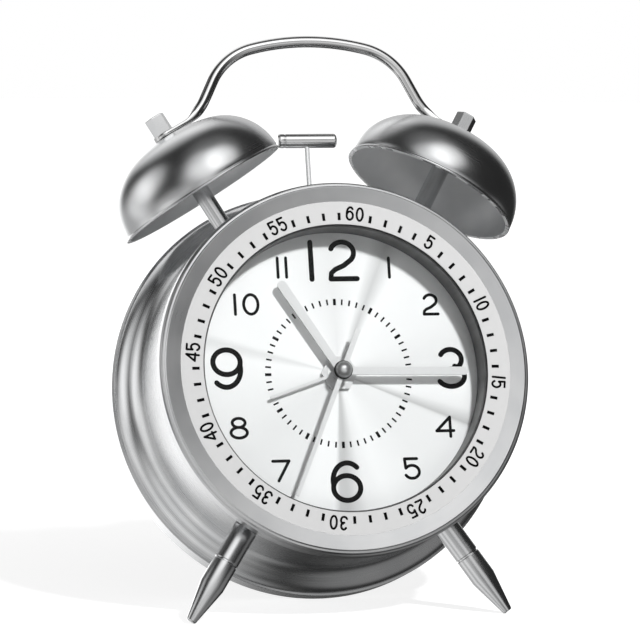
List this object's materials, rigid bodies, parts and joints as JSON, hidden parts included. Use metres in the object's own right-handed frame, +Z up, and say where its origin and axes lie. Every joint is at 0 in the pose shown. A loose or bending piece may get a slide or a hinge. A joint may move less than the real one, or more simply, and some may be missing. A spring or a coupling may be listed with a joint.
{
  "type": "alarm clock",
  "caption": "Twin-bell alarm clock: leaning flared drum on two legs, bezel, dial with four hands, two bells, swinging hammer, carrying handle and quartz movement.",
  "frame": {"origin": "on the table, under the middle of the bounding box", "axes": "+Z up, -Y the way the dial faces, +X to 3 o'clock; the drum leans back 16.5 degrees about X"},
  "size_m": [0.1148, 0.0768, 0.1572],
  "materials": {
    "satin_steel": "satin nickel plate, softly brushed",
    "brushed_bezel": "turned and finely brushed",
    "polished_steel": "polished plate",
    "hammer_wire": "bright drawn wire",
    "chapter_grey": "light grey paint with black printed ticks and minutes",
    "sunray_silver": "sunray brushed, black printed numerals",
    "clear_glass": "clear mineral glass",
    "reflector_silver": "silver lacquered moulding",
    "hand_silver": "satin stamped aluminium",
    "case_black": "fine spark texture",
    "knob_black": "satin",
    "zinc_plate": "zinc plated strip",
    "copper_winding": "enamelled copper wire",
    "movement_white": "natural acetal",
    "magnet_dark": "bonded ferrite",
    "board_green": "solder mask",
    "crystal_can": "drawn can",
    "cell_wrap": "plain wrap"
  },
  "bodies": {
    "case": {"back_cover": "case_black", "back_cover_screws": "zinc_plate", "battery": "cell_wrap", "battery_contact": "zinc_plate", "battery_spring": "zinc_plate", "bell_left": "satin_steel", "bell_post_left": "polished_steel", "bell_post_right": "polished_steel", "bell_right": "satin_steel", "bezel_ring": "brushed_bezel", "board_posts": "movement_white", "cap_nut_left": "polished_steel", "cap_nut_right": "polished_steel", "case_shell": "satin_steel", "chapter_ring": "chapter_grey", "circuit_board": "board_green", "dial_plate": "sunray_silver", "dial_reflector": "reflector_silver", "dial_retaining_clip": "zinc_plate", "drive_coil": "copper_winding", "glass_lens": "clear_glass", "handle": "satin_steel", "leg_left": "satin_steel", "leg_right": "satin_steel", "movement_front": "movement_white", "movement_nut": "polished_steel", "movement_rear": "movement_white", "quartz_crystal": "crystal_can", "screw_bosses": "case_black", "stator": "zinc_plate", "striker_bracket": "zinc_plate", "striker_coil": "copper_winding", "striker_pin": "zinc_plate", "striker_yoke": "zinc_plate", "stud_nuts": "polished_steel", "switch_housing": "case_black"},
    "minute_work": {"cannon_pinion": "movement_white", "minute_hand": "hand_silver"},
    "hour_work": {"hour_wheel": "movement_white", "hour_hand": "hand_silver"},
    "setting_work": {"setting_wheel": "movement_white", "set_knob": "knob_black"},
    "alarm_work": {"alarm_wheel": "movement_white", "alarm_hand": "hand_silver"},
    "alarm_setting": {"alarm_pinion": "movement_white", "alarm_knob": "knob_black"},
    "second_work": {"second_wheel": "movement_white", "second_hand": "hand_silver", "second_cap": "polished_steel"},
    "third_work": {"third_wheel": "movement_white"},
    "rotor": {"rotor_pinion": "movement_white", "rotor_magnet": "magnet_dark"},
    "hammer": {"hammer_head": "polished_steel", "hammer_stem": "hammer_wire", "hammer_lever": "movement_white"},
    "door": {"battery_door": "case_black"},
    "alarm_switch": {"switch_slider": "knob_black"}
  },
  "joints": [
    {"name": "minute_turn", "type": "hinge", "parent": "case", "child": "minute_work", "pos_m": [0, -0.01483, 0.06588], "axis": [0, 0.9588, -0.284], "continuous": true},
    {"name": "hour_turn", "type": "hinge", "parent": "case", "child": "hour_work", "pos_m": [0, -0.01483, 0.06588], "axis": [0, 0.9588, -0.284], "continuous": true},
    {"name": "set_knob_turn", "type": "hinge", "parent": "case", "child": "setting_work", "pos_m": [-0.0096, -0.01483, 0.06588], "axis": [0, 0.9588, -0.284], "continuous": true},
    {"name": "alarm_turn", "type": "hinge", "parent": "case", "child": "alarm_work", "pos_m": [0, -0.01483, 0.06588], "axis": [0, 0.9588, -0.284], "continuous": true},
    {"name": "alarm_knob_turn", "type": "hinge", "parent": "case", "child": "alarm_setting", "pos_m": [0.01, -0.01483, 0.06588], "axis": [0, 0.9588, -0.284], "continuous": true},
    {"name": "second_turn", "type": "hinge", "parent": "case", "child": "second_work", "pos_m": [0, -0.01483, 0.06588], "axis": [0, 0.9588, -0.284], "continuous": true},
    {"name": "third_wheel_turn", "type": "hinge", "parent": "case", "child": "third_work", "pos_m": [0, -0.01238, 0.07417], "axis": [0, 0.9588, -0.284], "continuous": true},
    {"name": "rotor_turn", "type": "hinge", "parent": "case", "child": "rotor", "pos_m": [0.0112, -0.01238, 0.07417], "axis": [0, 0.9588, -0.284], "continuous": true},
    {"name": "hammer_swing", "type": "hinge", "parent": "case", "child": "hammer", "pos_m": [0, 0.01641, 0.10096], "axis": [0, 0.9588, -0.284], "range_deg": [-9.2, 9.2], "stiffness_Nm_per_rad": 0.003},
    {"name": "battery_door_hinge", "type": "hinge", "parent": "case", "child": "door", "pos_m": [0, 0.00571, 0.01834], "axis": [-1, 0, 0], "range_deg": [0, 80]},
    {"name": "alarm_switch_slide", "type": "slide", "parent": "case", "child": "alarm_switch", "axis": [1, 0, 0], "range_m": [0, 0.005]}
  ],
  "couplings": [
    {"joint": "hour_turn", "follows": "minute_turn", "ratio": 0.083333},
    {"joint": "set_knob_turn", "follows": "minute_turn", "ratio": -0.33333},
    {"joint": "alarm_knob_turn", "follows": "alarm_turn", "ratio": -4},
    {"joint": "third_wheel_turn", "follows": "second_turn", "ratio": -5},
    {"joint": "rotor_turn", "follows": "second_turn", "ratio": 30}
  ]
}
